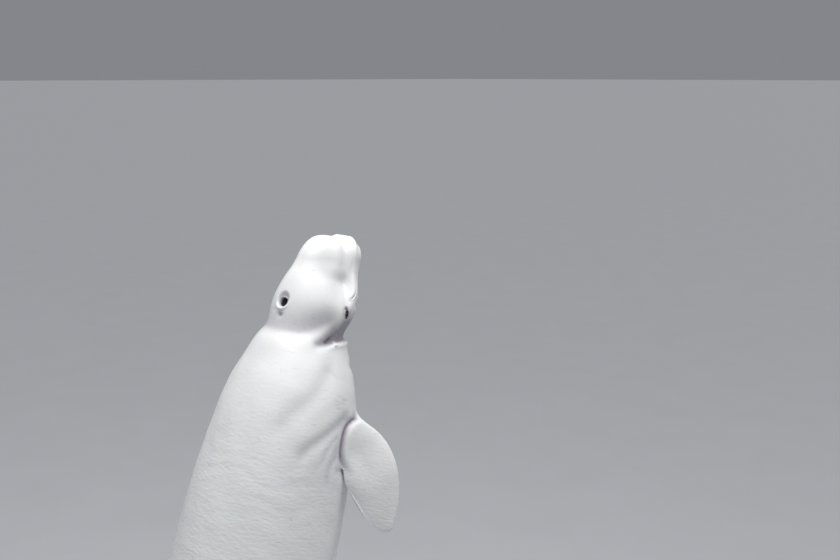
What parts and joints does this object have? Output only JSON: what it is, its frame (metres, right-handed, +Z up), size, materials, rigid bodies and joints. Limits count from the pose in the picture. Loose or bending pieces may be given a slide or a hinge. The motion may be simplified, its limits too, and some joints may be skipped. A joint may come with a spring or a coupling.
{
  "type": "beluga whale",
  "caption": "Life-size still model of an adult beluga whale risen upright, head raised and flippers spread, held over a plain flat base by slim rods.",
  "frame": {"origin": "middle of the underside of the stand's base, on the floor", "axes": "+Z up, +Y the way the whale's belly faces, -Y the way its back faces, +X its right side"},
  "size_m": [1.3, 2.24, 4.1109],
  "materials": {
    "skin": "smooth white skin, softly glossy, with pale grey folds",
    "eye": "wet and glossy, dark brown",
    "base": "matt dark grey paint",
    "rod": "brushed"
  },
  "bodies": {
    "root": {"head": "skin", "lower_jaw": "skin", "eye_right": "eye", "eye_left": "eye", "neck": "skin", "chest": "skin", "abdomen": "skin", "loin": "skin", "tail_stock": "skin", "flipper_right": "skin", "flipper_left": "skin", "fluke_right": "skin", "fluke_left": "skin", "dorsal_ridge": "skin", "stand_base": "base", "stand_rod_front": "rod", "stand_rod_rear": "rod"}
  },
  "joints": []
}
